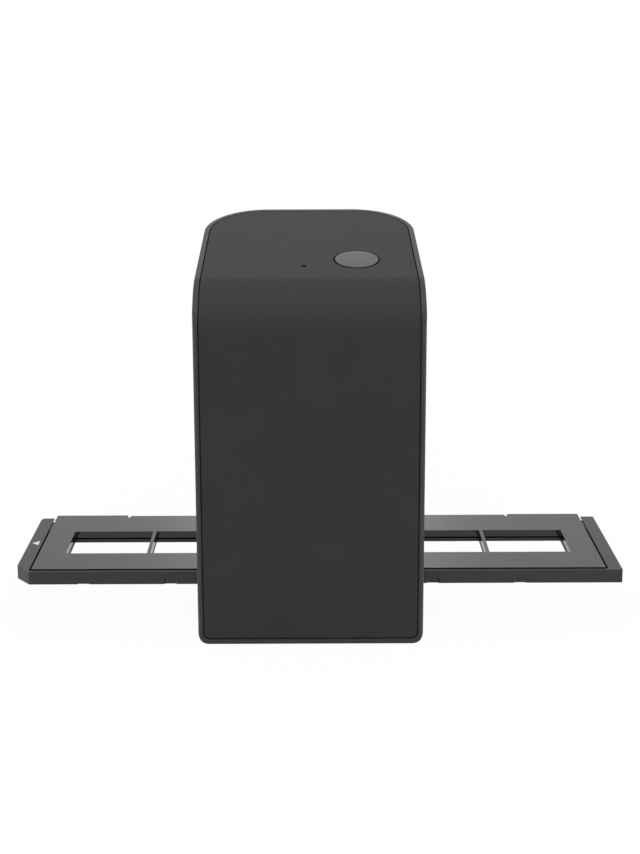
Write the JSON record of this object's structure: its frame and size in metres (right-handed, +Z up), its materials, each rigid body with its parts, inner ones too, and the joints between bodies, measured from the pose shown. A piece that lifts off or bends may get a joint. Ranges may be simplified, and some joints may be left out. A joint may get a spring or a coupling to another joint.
{
  "type": "film negative scanner",
  "caption": "Upright film scanner with a curved front cover and a hinged film holder that slides through slots in its sides, a scan button, a power light and a socket at the back.",
  "frame": {"origin": "on the table, under the middle of the whole part with its film holder", "axes": "+Z up, the front faces -Y, +X to the right along the film holder"},
  "size_m": [0.2644, 0.098, 0.172],
  "materials": {
    "shell_plastic": "fine satin moulded, dark grey",
    "cover_plastic": "soft-touch matte, dark grey",
    "base_plastic": "fine spark texture, black",
    "foot_rubber": "matte",
    "screw_steel": "zinc plated",
    "button_plastic": "satin, mid grey",
    "inner_plastic": "dull black",
    "board_green": "solder mask, satin",
    "led_plastic": "clear over yellow",
    "clear_plastic": "clear moulded",
    "spring_steel": "rolled strip",
    "opal_plastic": "opal, satin",
    "white_plastic": "white moulded",
    "chip_plastic": "moulded epoxy",
    "filter_glass": "coated glass",
    "barrel_metal": "black anodised",
    "lens_glass": "coated glass",
    "capacitor_metal": "bare can",
    "socket_metal": "tin plated",
    "connector_plastic": "moulded ivory",
    "ribbon_plastic": "polyester ribbon",
    "holder_plastic": "fine satin moulded, dark grey",
    "lid_plastic": "fine satin moulded, dark grey",
    "pin_steel": "drawn wire"
  },
  "bodies": {
    "scanner": {"housing": "shell_plastic", "front_cover": "cover_plastic", "base_plate": "base_plastic", "rubber_feet": "foot_rubber", "case_screws": "screw_steel", "tact_switch": "inner_plastic", "button_board": "board_green", "button_board_screws": "screw_steel", "power_led": "led_plastic", "light_pipe": "clear_plastic", "lower_guide": "inner_plastic", "light_chamber": "inner_plastic", "guide_screws": "screw_steel", "click_spring": "spring_steel", "spring_screw": "screw_steel", "diffuser": "opal_plastic", "reflector": "white_plastic", "backlight_board": "board_green", "backlight_leds": "led_plastic", "sensor_board": "board_green", "sensor_screws": "screw_steel", "image_sensor": "chip_plastic", "infrared_filter": "filter_glass", "lens_mount": "inner_plastic", "lens_barrel": "barrel_metal", "lens_glass": "lens_glass", "main_board": "board_green", "main_board_screws": "screw_steel", "processor_chip": "chip_plastic", "memory_chips": "chip_plastic", "capacitors": "capacitor_metal", "usb_socket": "socket_metal", "ribbon_connectors": "connector_plastic", "sensor_ribbon": "ribbon_plastic", "button_ribbon": "ribbon_plastic", "backlight_ribbon": "ribbon_plastic"},
    "scan_button": {"scan_button": "button_plastic"},
    "switch_plunger": {"switch_plunger": "inner_plastic"},
    "film_holder": {"holder_base": "holder_plastic", "hinge_pins": "pin_steel"},
    "holder_lid": {"holder_lid": "lid_plastic"}
  },
  "joints": [
    {"name": "holder_slide", "type": "slide", "parent": "scanner", "child": "film_holder", "axis": [1, 0, 0], "range_m": [-0.186, 0.179]},
    {"name": "lid_hinge", "type": "hinge", "parent": "film_holder", "child": "holder_lid", "pos_m": [0, 0.0258, 0.0245], "axis": [-1, 0, 0], "range_deg": [0, 0.9]},
    {"name": "button_press", "type": "slide", "parent": "scanner", "child": "scan_button", "axis": [0, 0.1908, -0.9816], "range_m": [0, 0.0005], "stiffness_N_per_m": 500, "springref_m": -0.0006},
    {"name": "plunger_press", "type": "slide", "parent": "scanner", "child": "switch_plunger", "axis": [0, 0.1908, -0.9816], "range_m": [0, 0.0005], "stiffness_N_per_m": 100, "springref_m": -0.0006}
  ],
  "couplings": [
    {"joint": "plunger_press", "follows": "button_press", "ratio": 1}
  ]
}
